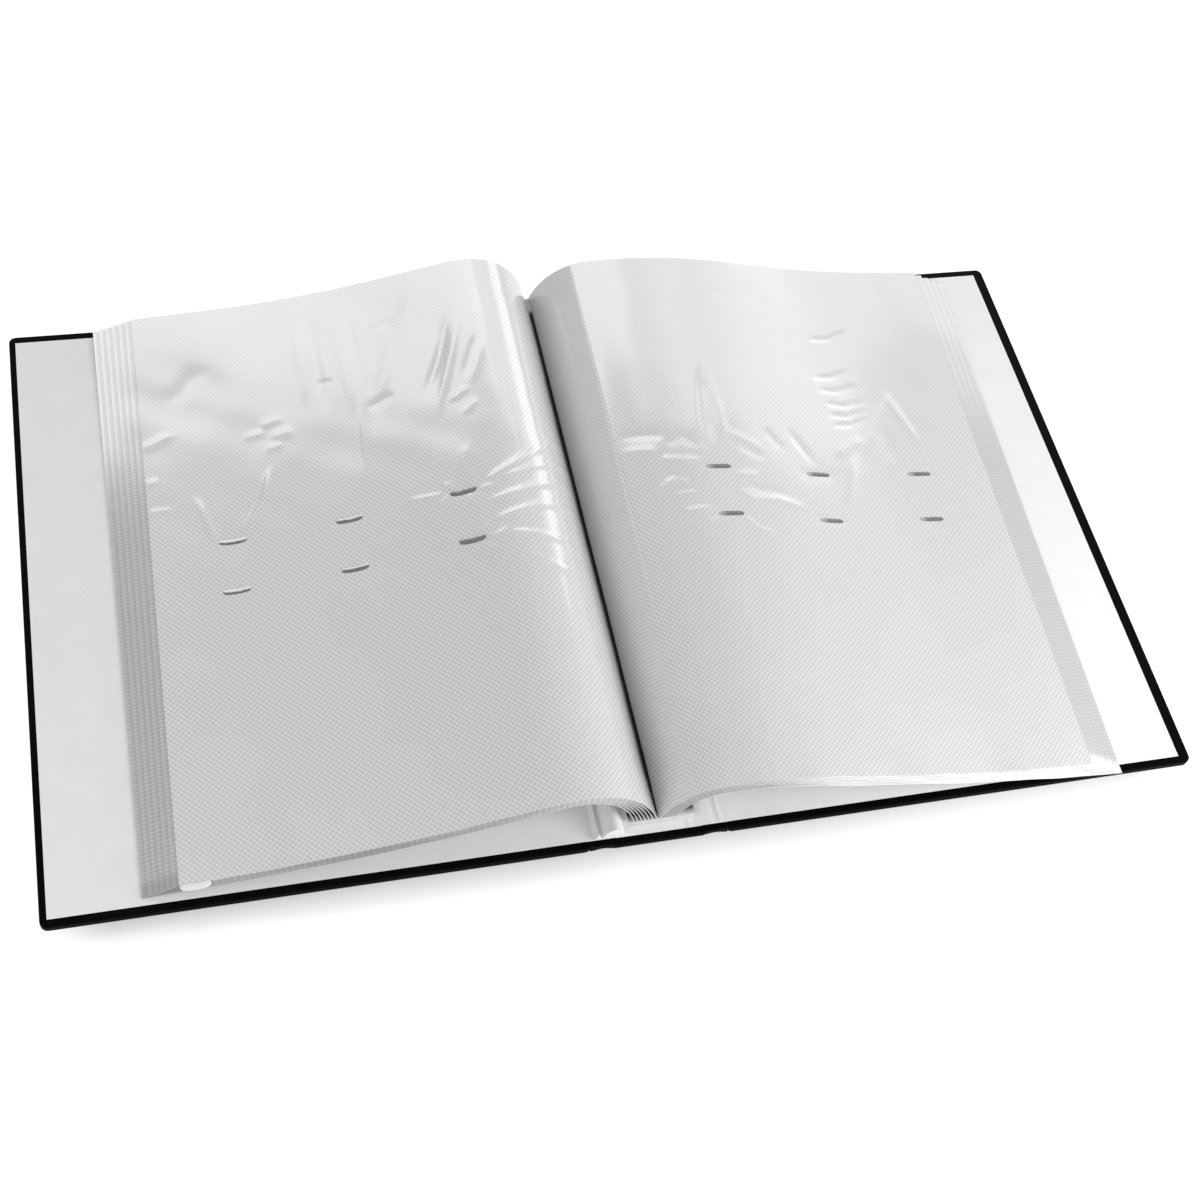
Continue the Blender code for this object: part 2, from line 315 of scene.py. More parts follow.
def cloth_finish():
    """Plain weave, near black as painted gutter shade: the product of two cosine waves gives the over and
    under of the threads, and the distance from the middle of the spine gives the glue."""
    made, start = new_finish("dark_binding_cloth")
    place = start.node("ShaderNodeTexCoord", {}, out="Object")
    across = start.node("ShaderNodeSeparateXYZ", {"Vector": place}, out=0)
    along = start.node("ShaderNodeSeparateXYZ", {"Vector": place}, out=1)
    weave = across.wave(THREAD) * along.wave(THREAD)
    bump = start.node("ShaderNodeBump", {"Strength": 0.4, "Distance": 0.0001, "Height": weave})
    glue = abs(along).rise(*GLUE_FADE)
    # The near-black base tone is painted shade of the deep gutter; at head and tail the glue is pale.
    tone = (weave * 0.02 + 0.012) * (1 - glue) + glue * GLUE_TONE
    colour = tone.mix(grey(0.0), grey(1.0))
    surface(start, base_color=colour, roughness=0.9, specular_ior_level=0.1, normal=bump)
    return made


binding_cloth = cloth_finish()
print("finish", binding_cloth.name)

# %% [markdown]
# ## Embossed film
# The sleeves are soft polypropylene with a fine diamond lattice pressed in, so they look milky grey and
# still shine. The lattice could be modelled, but at 1.4 mm a diamond it belongs in the material. It
# follows the sheet's own UV map, which holds metres along and across the leaf, so that it bends with the
# leaf. Beside the root a leaf has a plain ribbed strip that ends at a weld line with a painted highlight,
# and along the fore edge the lower leaves show a ribbed band with painted shade. The colour carries more
# painted light: the lattice fades towards the head as if washed out by the highlight, the tail edges get
# painted light and shade, and the right page has painted shade beside its seam.

# %% Film finish
LATTICE = 1.37 * MM
FORE_EDGE_S = 163 * MM
BAND_EDGE = (FORE_EDGE_S - 12 * MM, FORE_EDGE_S - 11.5 * MM)
FORE_EDGE_HIGHLIGHT_SPAN = (FORE_EDGE_S - 1.1 * MM, FORE_EDGE_S - 0.5 * MM)
STRIP_FADE = (-7 * MM, 0.3 * MM)
SEAM_HALF_WIDTH = 0.8 * MM
SEAM_HIGHLIGHT_FADE = (-70 * MM, 10 * MM)
HEAD_FADE = (25 * MM, 70 * MM)
PAINTED_TAIL_ALONG, PAINTED_TAIL_ACROSS = (25 * MM, 60 * MM), (-107 * MM, -103 * MM)
SEAM_SHADE_START, SEAM_SHADE_END = (2 * MM, 10 * MM), (18 * MM, 34 * MM)
# Painted shade in the fore edge band, painted highlights at the fore edge and the seam, and painted light
# and shade along the tail.
BAND_SHADE, FORE_EDGE_HIGHLIGHT, SEAM_HIGHLIGHT, TAIL_LIGHT_AND_SHADE = 0.25, 0.2, 0.14, 0.4
# How far the lattice's colour contrast fades towards the head, as painted light of the highlight.
HIGHLIGHT_WASHOUT = 0.6
HAZE = 0.15

# The last three fields set painted shade beside the seam, painted shade in the fore edge band, and
# painted light and shade along the tail.
FilmLook = namedtuple("FilmLook", "dark light seam seam_slope hollow band tail", defaults=(0.0,) * 4)


def film_finish(name, look):
    """Milky film: two diagonal waves form the lattice, whose colour contrast fades towards the head as
    painted light and whose bump grows shallower there; ribs take its place up to the seam and along the
    fore edge, and painted light and shade lie along the tail, in the band and beside the seam."""
    made, start = new_finish(name)
    place = start.node("ShaderNodeUVMap", {}, uv_map=UV_NAME)
    along = start.node("ShaderNodeSeparateXYZ", {"Vector": place}, out=0)
    across = start.node("ShaderNodeSeparateXYZ", {"Vector": place}, out=1)
    diagonal = LATTICE * math.sqrt(2)
    lattice = (along + across).wave(diagonal) * 0.5 + (along - across).wave(diagonal) * 0.5
    from_seam = along - (across * look.seam_slope + look.seam)
    strip = 1 - from_seam.rise(*STRIP_FADE)
    # Painted highlight along the weld seam, fading towards the tail.
    seam_highlight = (1 - abs(from_seam).rise(0.0, SEAM_HALF_WIDTH)) * across.rise(*SEAM_HIGHLIGHT_FADE)
    band = along.rise(*BAND_EDGE) * look.band
    # Painted light and shade along the tail edges: shade on the left stack, light on the right.
    tail_light_and_shade = (1 - across.rise(*PAINTED_TAIL_ACROSS)) * along.rise(*PAINTED_TAIL_ALONG) * look.tail
    ribs = across.wave(LATTICE) * 0.6 + 0.2
    relief = lattice + strip.math("MAXIMUM", strip, band) * (ribs - lattice)
    head = across.rise(*HEAD_FADE)
    # Towards the head the lattice's colour fades as painted light, standing for the highlight that washes
    # it out; its bump grows shallower too.
    depth = (1 - head * HIGHLIGHT_WASHOUT) * (1 - abs(tail_light_and_shade))
    relief = (relief - 0.5) * depth + 0.5
    haze = start.node("ShaderNodeTexNoise", {"Vector": place, "Scale": 35.0, "Detail": 3.0})
    level = relief * (1 - HAZE) + haze * HAZE
    # Painted highlight along each lower leaf's fore edge, at the head only.
    fore_edge_highlight = along.rise(*FORE_EDGE_HIGHLIGHT_SPAN) * band * head
    # Painted shade beside the right page's seam.
    hollow = from_seam.rise(*SEAM_SHADE_START) * (1 - from_seam.rise(*SEAM_SHADE_END)) * look.hollow
    # Painted shade: the lower leaves' fore edge band is darker, less so towards the head, where it would
    # mirror the light.
    shade = 1 - band * (1 - head) * BAND_SHADE + fore_edge_highlight * FORE_EDGE_HIGHLIGHT
    shade = shade + seam_highlight * SEAM_HIGHLIGHT + tail_light_and_shade * TAIL_LIGHT_AND_SHADE - hollow
    tone = (level.rise(0.05, 0.95) * (look.light - look.dark) + look.dark) * shade
    bump = start.node("ShaderNodeBump", {"Strength": 0.15, "Distance": 0.00006, "Height": relief})
    surface(
        start,
        base_color=tone.mix(grey(0.0), grey(1.0)),
        roughness=0.2 + relief * 0.06,
        coat_weight=1.0,
        coat_roughness=0.1,
        coat_ior=1.6,
        normal=bump,
    )
    return made


left_page_look = FilmLook(0.51, 0.70, seam=8 * MM)
right_page_look = FilmLook(0.51, 0.70, seam=16.4 * MM, seam_slope=0.010, hollow=0.08)
# The two stacks are copies of one film: the left has more painted shade in its band and painted shade
# along the tail, the right painted light along the tail.
left_stack_look = FilmLook(0.52, 0.68, seam=8 * MM, band=0.9, tail=-0.5)
right_stack_look = FilmLook(0.52, 0.68, seam=8 * MM, band=0.6, tail=1.0)
page_films = {
    "left": film_finish("left_page_film", left_page_look),
    "right": film_finish("right_page_film", right_page_look),
}
under_films = {
    "left": film_finish("left_stack_film", left_stack_look),
    "right": film_finish("right_stack_film", right_stack_look),
}
print("finishes", [film.name for film in (*page_films.values(), *under_films.values())])

# %% [markdown]
# ## The case
# A cover is a board with the wrap pulled round its edges, so its edges are soft. A cube with a Bevel
# modifier would bend corners and edges alike; the slab gives each its own radius. The solids give every
# size, and the raw boards stay hidden inside.

# %% Covers and spine
EDGE_BEND = 0.7 * MM
CORNER_BEND = 2.4 * MM


def dress(made, slot, *nodes):
    """Hides the solids that a piece stands for. The slot is not used."""
    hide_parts(*nodes)


def cover_case(word):
    """Wrapped board of one cover."""
    made = slab(word + "_cover_case", *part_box(word + "_wrap"), CORNER_BEND, EDGE_BEND, black_wrap)
    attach(made, word + "_cover")
    dress(made, "black_wrap", word + "_wrap", word + "_board")


cover_case("front")
cover_case("back")
spine_low, spine_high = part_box("spine_wrap")
spine_case = slab("spine_case", spine_low, spine_high, EDGE_BEND, EDGE_BEND, black_wrap)
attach(spine_case, "spine")
dress(spine_case, "black_wrap", "spine_wrap", "spine_board")

# %% [markdown]
# ## Grooves
# Between spine and board the wrap is free and bends when the cover closes. At head and tail its turn-in
# fills the groove nearly to the boards' height. Two stiff halves would tear apart at the joint, so one
# strip is blended from the spine to the cover. It is hollowed from below, where the groove shows on the
# outside.

# %% Groove strips
GROOVE_STEPS = 25
GROOVE_COLUMNS = 3
GROOVE_HOLLOW = 0.9 * MM
GROOVE_SEAT = 0.1 * MM


def groove_strip(word):
    """Strip across the groove: flat above, and below it rises by one wave of a cosine."""
    low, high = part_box(word + "_groove_cloth")
    wrap_low, wrap_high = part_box(word + "_wrap")
    sign = math.copysign(1.0, low[0])
    inner = spine_high[0] - EDGE_BEND
    outer = min(abs(wrap_low[0]), abs(wrap_high[0])) + EDGE_BEND
    share = np.linspace(0.0, 1.0, GROOVE_STEPS)
    top = np.empty((GROOVE_STEPS, GROOVE_COLUMNS, 3))
    top[..., 0] = (sign * (inner + (outer - inner) * share))[:, None]
    top[..., 1] = np.linspace(low[1] + EDGE_BEND / 2, high[1] - EDGE_BEND / 2, GROOVE_COLUMNS)
    top[..., 2] = (spine_high[2] + (wrap_high[2] - spine_high[2]) * share - GROOVE_SEAT)[:, None]
    bottom = top.copy()
    bottom[..., 2] = (GROOVE_SEAT + GROOVE_HOLLOW * np.sin(math.pi * share) ** 2)[:, None]
    made = shell(word + "_groove_strip", top, bottom, black_wrap)
    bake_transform(made)
    dress(made, "black_wrap", word + "_groove_cloth")


groove_strip("front")
groove_strip("back")

# %% [markdown]
# ## Endpapers
# A white sheet is pasted over the wrap's turn-ins, leaving a black margin that is wider at the back
# cover's fore edge. A plane would do for its shape, but its edges lift by a hair where the paste ends,
# and a grid can show that.

# %% Endpapers and lining
PAPER_ROWS = 60
EDGE_LIFT = 0.12 * MM
LIFT_REACH = 4 * MM
FRONT_MARGIN = 2.3 * MM
TAIL_MARGIN = 2.4 * MM
HEAD_MARGIN = 3.4 * MM


def paper_sheet(name, low, high):
    """Sheet in a box: it lies at the box's top and lifts a little within a few millimetres of its
    edge."""
    x = np.linspace(low[0], high[0], PAPER_ROWS)[:, None] + np.zeros(PAPER_ROWS)
    y = np.linspace(low[1], high[1], PAPER_ROWS) + np.zeros((PAPER_ROWS, 1))
    edge = np.minimum.reduce([x - low[0], high[0] - x, y - low[1], high[1] - y])
    top = np.stack((x, y, high[2] + EDGE_LIFT * (1 - ease(edge / LIFT_REACH))), axis=-1)
    return shell(name, top, below(top, high[2] - low[2]), white_paper)


def endpaper(word):
    """Pasted sheet of one cover."""
    low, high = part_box(word + "_endpaper")
    low[1] = cad_low[1] + TAIL_MARGIN
    high[1] = cad_high[1] - HEAD_MARGIN
    if word == "front":
        low[0] = cad_low[0] + FRONT_MARGIN
    made = paper_sheet(word + "_endpaper_sheet", low, high)
    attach(made, word + "_cover")
    dress(made, "white_paper", word + "_endpaper")


endpaper("front")
endpaper("back")
lining_low, lining_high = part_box("spine_lining")
lining_low[1] = cad_low[1] + TAIL_MARGIN
lining = paper_sheet("spine_lining_sheet", lining_low, lining_high)
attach(lining, "spine")
dress(lining, "white_paper", "spine_lining")

# %% [markdown]
# ## Paper rolls
# Beside the binding the endpaper stands up in a loose roll, which shows at the foot of the gutter: a
# small ripple over the groove, then a high round arch that comes down beside the first leaf. On the back
# cover's side both are nearly flat. A bent tube would not meet the paper beside it, so the roll is one
# profile, carried along the spine.

# %% Endpaper rolls
ROLL_STEPS, ROLL_COLUMNS = 70, 12
ROLL_OUTER = 24.4 * MM
ROLL_INNER = 9.9 * MM
ROLL_SLOPE = 12 * MM
ROLL_LIFT, ROLL_SEAT = 0.1 * MM, 0.05 * MM
ARCH_POWER = 0.6
RIPPLE_U, RIPPLE_WIDTH = 20.6 * MM, 0.8 * MM
ARCH_U, ARCH_WIDTH = 15.5 * MM, 3.3 * MM
RIPPLE_HEIGHT = {"front": 1.5 * MM, "back": 0.2 * MM}
ARCH_HEIGHT = {"front": 4.2 * MM, "back": 0.4 * MM}


def paper_roll(word):
    """Profile of the roll: an eased slope, plus a bell curve for the ripple, plus a rounded arch, which
    is one minus a square raised to a power below one."""
    low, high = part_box(word + "_endpaper_fold")
    paper_low, paper_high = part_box(word + "_endpaper")
    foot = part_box("binding_strip" if word == "front" else "spine_lining")[1]
    sign = math.copysign(1.0, low[0])
    u = np.linspace(ROLL_OUTER, ROLL_INNER, ROLL_STEPS)
    z = paper_high[2] + ROLL_LIFT + (foot[2] - paper_high[2]) * ease((ROLL_OUTER - u) / ROLL_SLOPE)
    z = z + RIPPLE_HEIGHT[word] * np.exp(-(((u - RIPPLE_U) / RIPPLE_WIDTH) ** 2))
    z = z + ARCH_HEIGHT[word] * np.clip(1 - ((u - ARCH_U) / ARCH_WIDTH) ** 2, 0.0, 1.0) ** ARCH_POWER
    top = np.empty((ROLL_STEPS, ROLL_COLUMNS, 3))
    top[..., 0] = sign * u[:, None]
    top[..., 1] = np.linspace(cad_low[1] + TAIL_MARGIN, high[1], ROLL_COLUMNS)
    top[..., 2] = z[:, None]
    bottom = top.copy()
    bottom[..., 2] = paper_low[2] - ROLL_SEAT
    made = shell(word + "_endpaper_roll", top, bottom, white_paper)
    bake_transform(made)
    dress(made, "white_paper", word + "_endpaper_fold")


paper_roll("front")
paper_roll("back")

# %% [markdown]
# ## Binding
# The cloth strip that holds the roots is glued along the middle of the spine. It is a slab like the
# covers, with the small bends of a thick cloth, and it lies between the rolls.

# %% Binding strip
TAPE_CORNER, TAPE_EDGE = 0.8 * MM, 0.6 * MM

binding = slab("binding_tape", *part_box("binding_strip"), TAPE_CORNER, TAPE_EDGE, binding_cloth)
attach(binding, "spine")
dress(binding, "dark_cloth", "binding_strip")

# %% [markdown]
# ## How a leaf arches
# A leaf leaves the binding steeply, turns over in a round hump and runs out flat to its fore edge. Its
# line could be drawn as a curve through points, but a bend at a chosen distance is easier to reason
# about: the direction is the rise at the root plus a few smooth bends, and the line is the running sum of
# that direction. The leaves under it are offset lines, closer on the page than at the root. They droop a
# little behind the hump, and each reaches further out than the one above it.

# %% Leaf lines
LINE_SAMPLES = 1500
LINE_END = 190 * MM
ROOT_PITCH = 1.2 * MM
PAGE_PITCH = 0.56 * MM
PITCH_CHANGE = 45 * MM
FILM_THICK = 0.3 * MM
DROOP = {"left": 0.3 * MM, "right": 2.0 * MM}
DROOP_RISE, DROOP_FALL, DROOP_FADE = 40 * MM, 70 * MM, 60 * MM

# Rise and bends are in degrees, reach is in millimetres, and tilt, sway and twist are slopes. A bend or a
# step of the twist has a start, an end and a change. The pairs are for the lowest and the top leaf.
Fan = namedtuple("Fan", "name sign count rise bends reach tilt sway twist")
LEFT = Fan(
    name="left",
    sign=-1,
    count=7,
    rise=69.5,
    bends=((2, 51, -84.4), (54, 161, 10.7)),
    reach=(163.0, 150.4),
    tilt=(-0.002, 0.011),
    sway=(0.006, 0.002),
    twist=(0.010, (100, 132, 0.025)),
)
RIGHT = Fan(
    name="right",
    sign=1,
    count=5,
    rise=68.5,
    bends=((1.5, 34.5, -65.3), (26, 84, -16.0), (94, 158, 8.7)),
    reach=(168.6, 157.5),
    tilt=(0.034, 0.030),
    sway=(-0.040, -0.018),
    twist=(-0.016, (42, 75, 0.016), (98, 118, 0.012)),
)
Line = namedtuple("Line", "s u z heading end")


def between(fan, leaf, pair):
    """Value of a leaf between those of the lowest and the top leaf."""
    return pair[0] + (pair[1] - pair[0]) * (leaf - 1) / (fan.count - 1)


def leaf_line(fan, leaf):
    """Distance, place and direction along a leaf's middle line, and the distance at its fore edge. The
    top line's direction is the rise plus each bend's angle, eased in between two distances. A lower line
    is that line moved along its normal by the leaves' pitch and its droop, and begins where it meets the
    binding."""
    s = np.linspace(0.0, LINE_END, LINE_SAMPLES)
    bends = [angle * ease((s - start * MM) / ((end - start) * MM)) for start, end, angle in fan.bends]
    heading = np.radians(fan.rise + np.sum(bends, axis=0))
    root = joint[f"{fan.name}_root_{fan.count}"]["pos_m"]
    step = np.diff(s, prepend=s[0])
    under = fan.count - leaf
    pitch = PAGE_PITCH + (ROOT_PITCH - PAGE_PITCH) * (1 - ease(s / PITCH_CHANGE))
    droop = DROOP[fan.name] * ease(s / DROOP_RISE) * (1 - ease((s - DROOP_FALL) / DROOP_FADE))
    depth = under * pitch + (under / (fan.count - 1)) ** 2 * droop
    u = abs(root[0]) + np.cumsum(np.cos(heading) * step) + np.sin(heading) * depth
    z = root[2] + np.cumsum(np.sin(heading) * step) - np.cos(heading) * depth
    first = np.argmax(z >= root[2])
    u, z, heading = u[first:], z[first:], heading[first:]
    travelled = np.concatenate(([0.0], np.cumsum(np.hypot(np.diff(u), np.diff(z)))))
    end = np.interp(between(fan, leaf, fan.reach) * MM, u, travelled)
    return Line(travelled, u, z, heading, float(end))


for fan in (LEFT, RIGHT):
    for leaf in (1, fan.count):
        line = leaf_line(fan, leaf)
        height = float(np.interp(line.end, line.s, line.z))
        print(fan.name, leaf, f"length {line.end / MM:.1f} mm, fore edge {height / MM:.1f} mm high")

# %% [markdown]
# ## Wrinkles
# Soft film never lies quite flat: it puckers round each weld, and creases run from the welds to the
# gutter. Bump in the material could hint at them, but the shine on real relief moves with the view, so
# they are part of the mesh. A wrinkle is a path of a few points in millimetres with a height and a width;
# its section is a bell curve, and it fades at both ends.

# %% Wrinkle paths
# Each row is height, width and path.
LEFT_WRINKLES = (
    (0.18, 1.6, ((-150, 55), (-138, 61))),
    (0.14, 2.2, ((-106, 52), (-97, 54))),
    (0.11, 1.6, ((-108, 47), (-101, 49))),
    (0.11, 1.7, ((-109, 58), (-100, 60))),
    (0.09, 1.4, ((-115, 54), (-107, 55))),
    (0.18, 1.3, ((-134, 34), (-131, 22), (-127, 8))),
    (0.22, 1.3, ((-106, 42), (-111, 26), (-122, 9))),
    (0.09, 1.5, ((-150, 40), (-145, 41))),
    (0.09, 1.5, ((-151, 28), (-140, 28))),
    (0.11, 1.6, ((-91, 113), (-92, 60))),
    (-0.11, 1.6, ((-86, 113), (-85, 55))),
    (0.08, 1.6, ((-78, 113), (-75, 45))),
    (-0.07, 1.4, ((-73, 113), (-70, 60))),
    (0.08, 1.3, ((-72, 70), (-75, 20))),
    (-0.08, 1.4, ((-87, 72), (-80, 72))),
    (-0.10, 1.6, ((-70, 90), (-55, 94))),
    (-0.12, 1.8, ((-71, 56), (-60, 61))),
    (-0.10, 3.5, ((-140, 72), (-125, 90))),
    (-0.18, 1.5, ((-35, 96), (-43, 72), (-52, 52))),
    (0.18, 1.5, ((-31, 94), (-40, 68), (-48, 46))),
    (-0.13, 1.3, ((-28, 80), (-37, 58))),
    (0.14, 1.3, ((-25, 78), (-34, 56))),
    (0.13, 1.2, ((-43, 51), (-35, 56))),
    (0.12, 1.2, ((-39, 44), (-33, 50))),
    (0.12, 1.1, ((-44, 20), (-40, 32))),
    (0.12, 1.2, ((-37, 14), (-26, 20))),
    (0.24, 1.5, ((-36, 14), (-20, 23), (-8, 33), (0, 37))),
    (0.24, 1.4, ((-38, 12), (-22, 17), (-8, 23), (0, 25))),
    (0.24, 1.4, ((-40, 5), (-22, 9), (-10, 14), (0, 15))),
    (0.24, 1.3, ((-40, -3), (-24, 1), (-10, 4), (0, 4))),
    (0.20, 1.2, ((-38, -7), (-22, -10), (-4, -15))),
    (0.13, 1.2, ((-36, -12), (-24, -20), (-6, -29))),
    (0.10, 1.0, ((-42, -10), (-33, -17))),
    (0.11, 1.0, ((-40, 12), (-30, 12))),
    (0.09, 0.9, ((-64, 14), (-49, 13))),
    (0.10, 1.0, ((-41, -8), (-36, -8), (-30, -5))),
    (0.08, 0.9, ((-50, 18), (-47, 13))),
    (0.08, 0.9, ((-53, 8), (-49, 13))),
    (0.08, 0.9, ((-43, 12), (-42, 5))),
    (0.08, 0.9, ((-56, -3), (-48, -7))),
    (0.09, 0.9, ((-42, -7), (-38, -2))),
    (0.10, 1.4, ((-84, -12), (-77, -34))),
    (-0.08, 1.4, ((-82, -12), (-72, -26))),
    (0.10, 2.2, ((-88, -30), (-100, -75))),
    (0.10, 2.0, ((-117, -13), (-113, -62))),
    (0.09, 2.0, ((-44, 113), (-50, 98), (-57, 78))),
    (-0.08, 2.0, ((-50, 112), (-56, 98), (-62, 76))),
    (0.09, 1.8, ((-56, 92), (-66, 58))),
    (-0.08, 1.8, ((-61, 90), (-71, 58))),
)
RIGHT_WRINKLES = (
    (0.20, 1.8, ((54, 70), (47, 45), (41, 18))),
    (-0.22, 2.6, ((53, 62), (49, 40), (47, 20))),
    (0.18, 1.8, ((54, 68), (55, 40), (53, 16))),
    (0.18, 1.5, ((26, 19), (44, 16))),
    (-0.18, 2.2, ((30, 24), (38, 28), (44, 22))),
    (0.14, 1.5, ((22, 3), (34, 12))),
    (-0.12, 1.6, ((26, 12), (40, 9))),
    (0.14, 1.3, ((27, 2), (40, 3))),
    (0.13, 1.2, ((30, -5), (44, -4))),
    (-0.10, 1.4, ((28, -2), (40, -1))),
    (0.10, 1.0, ((36, -11), (44, -8))),
    (0.18, 1.4, ((50, 6), (58, -1), (68, -1), (80, -5))),
    (-0.12, 1.6, ((55, 7), (62, 3), (74, 2))),
    (0.12, 1.0, ((50, -6), (57, -14), (64, -16))),
    (0.14, 1.5, ((54, 30), (69, 21))),
    (-0.12, 1.6, ((57, 24), (68, 17))),
    (-0.12, 1.6, ((70, 32), (77, 20))),
    (-0.14, 1.6, ((80, 33), (88, 14))),
    (0.12, 1.3, ((52, 10), (64, 10))),
    (-0.20, 1.3, ((101, 76), (112, 77), (122, 82))),
    (-0.20, 1.2, ((98, 57), (108, 58), (116, 62))),
    (-0.20, 1.2, ((98, 51), (108, 51), (118, 55))),
    (-0.20, 1.2, ((99, 45), (109, 44), (119, 47))),
    (-0.20, 1.2, ((99, 39), (109, 39), (118, 43))),
    (-0.20, 1.2, ((99, 34), (109, 35), (117, 39))),
    (0.20, 1.6, ((97, 19), (112, 30))),
    (0.18, 1.7, ((131, 52), (109, 18))),
    (0.18, 1.7, ((127, 52), (136, 22))),
    (-0.14, 3.0, ((122, 36), (121, 16))),
    (0.14, 1.8, ((106, 22), (95, -6))),
    (-0.08, 2.0, ((142, 96), (138, 114))),
    (-0.08, 2.0, ((62, 100), (80, 93))),
    (-0.16, 2.2, ((14, 31), (34, 29))),
    (0.14, 2.0, ((14, 24), (30, 22))),
)


def wrinkle_relief(x, y, wrinkles):
    """Sum of all wrinkles: height times a bell curve of the distance to the path, faded over a third at
    each end."""
    total = np.zeros_like(x)
    for height, width, points in wrinkles:
        path = np.array(points) * MM
        runs = np.diff(path, axis=0)
        lengths = np.hypot(*runs.T)
        starts = np.concatenate(([0.0], np.cumsum(lengths)))
        nearest = np.full_like(x, np.inf)
        travelled = np.zeros_like(x)
        for begin, run, length, start in zip(path, runs, lengths, starts):
            from_x, from_y = x - begin[0], y - begin[1]
            along = np.clip((from_x * run[0] + from_y * run[1]) / length, 0.0, length)
            off = np.hypot(from_x - along * run[0] / length, from_y - along * run[1] / length)
            travelled = np.where(off < nearest, start + along, travelled)
            nearest = np.minimum(off, nearest)
        third = starts[-1] / 3
        fade = ease(travelled / third) * ease((starts[-1] - travelled) / third)
        total += height * MM * fade * np.exp(-((nearest / (width * MM)) ** 2))
    return total


print("wrinkles", len(LEFT_WRINKLES), "left,", len(RIGHT_WRINKLES), "right")

# %% [markdown]
# ## Waves and twist
# Between the wrinkles the film is gently uneven, each page is twisted a little along the spine, and its
# free tail edge waves. Cloth simulation could give such shapes, but they would be hard to place, so each
# is a short formula.

# %% Slow waves and free edges
WAVE_SLOPE = {"left": 0.0034, "right": 0.0018}
WAVE_LENGTHS = np.array([90, 66, 50, 40, 33, 27, 22, 18, 15]) * MM
WAVE_SEED = {"left": 11, "right": 12}
TURN = 2 * math.pi
TWIST_Y, TWIST_SHIFT, TWIST_REACH = 53 * MM, 1.09, 20 * MM
LEAST_TWIST = 0.35
LONG_WAVE, SHORT_WAVE, TAIL_REACH = 41 * MM, 19 * MM, 5 * MM


def slow_waves(fan, x, y):
    """Gentle unevenness: sine waves of one slope, whose directions and phases are drawn once."""
    draw = np.random.default_rng(WAVE_SEED[fan.name])
    total = np.zeros_like(x)
    for length in WAVE_LENGTHS:
        direction, phase = draw.uniform(0, TURN, 2)
        number = TURN / length
        total += np.sin(number * (x * math.cos(direction) + y * math.sin(direction)) + phase) / number
    return total * WAVE_SLOPE[fan.name]


def twist_relief(fan, u, y):
    """Twist of a page: its slope along the spine changes with the distance from the gutter. The slope
    levels off on both sides of a line that lies the higher up the page the more it slopes."""
    slope = fan.twist[0]
    for start, end, rise in fan.twist[1:]:
        slope = slope + rise * ease((u / MM - start) / (end - start))
    middle = TWIST_Y + slope * TWIST_SHIFT
    return slope * TWIST_REACH * np.tanh((y - middle) / TWIST_REACH)


def tail_waves(x, from_tail, leaf):
    """Waves of the free tail edge: two sines along it, shifted from leaf to leaf, that die away within a
    few millimetres."""
    wave = np.sin(TURN * x / LONG_WAVE + 1.3 * leaf) + 0.5 * np.sin(TURN * x / SHORT_WAVE + 2.1 * leaf)
    return wave * np.exp(-from_tail / TAIL_REACH)


# %% [markdown]
# ## One leaf as a surface
# A leaf could be sculpted, but then its neighbours would have to be sculpted to match. Here a point of
# the film is found from two numbers: the distance along the leaf and the place along the spine. The line
# gives its place across the opening, the page is turned a little in its own plane as in the photo, and
# the relief moves it along the line's normal. At the root the two top leaves nearly meet.

# %% Film surface
TAIL, HEAD = (corner[1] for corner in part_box("left_leaf_7_stub"))
SKEW_REACH = 60 * MM
ROOT_PINCH = 0.5 * MM
TAIL_PINCH = 0.35 * MM
PINCH_REACH = 25 * MM
TAIL_WAVE = {"left": 0.08 * MM, "right": 0.3 * MM}
TAIL_CORNER = (-145.5, -110.3)
UPPER_LEFT = ((-123, 12), (-83.5, 12), (-44.5, 12.5))
LOWER_LEFT = ((-123.5, -8), (-84, -8), (-44.5, -7.5))
UPPER_RIGHT = ((48, 13.5), (87, 11), (129.5, 12))
LOWER_RIGHT = ((48, -7), (87, -9.5), (128.5, -8.5))
DASHES = {"left": (*UPPER_LEFT, *LOWER_LEFT, TAIL_CORNER), "right": (*UPPER_RIGHT, *LOWER_RIGHT)}
DASH_LENGTH = 9.4 * MM
PUCKER = 0.05 * MM
PUCKER_REACH = 2.6 * MM
SEAM_U, SEAM_SLOPE = 13.4 * MM, 0.018
SEAM_HEIGHT, SEAM_REACH = 0.25 * MM, 3.5 * MM
SEAM_LEAST, SEAM_START, SEAM_GROWTH = 0.3, -10 * MM, 60 * MM


def pucker_relief(x, y, dashes):
    """Film drawn down round each weld dash: a bell curve of the distance to the dash."""
    total = np.zeros_like(x)
    for dash_x, dash_y in dashes:
        beyond = np.maximum(np.abs(x - dash_x * MM) - DASH_LENGTH / 2, 0)
        total -= PUCKER * np.exp(-(beyond**2 + (y - dash_y * MM) ** 2) / PUCKER_REACH**2)
    return total


def seam_relief(x, y):
    """Weld seam beside the right gutter: a sharp ridge along a slightly slanted line that fades towards
    the tail."""
    off = np.abs(x - SEAM_U - SEAM_SLOPE * y)
    fade = SEAM_LEAST + (1 - SEAM_LEAST) * ease((y - SEAM_START) / SEAM_GROWTH)
    return SEAM_HEIGHT * fade * np.exp(-off / SEAM_REACH)


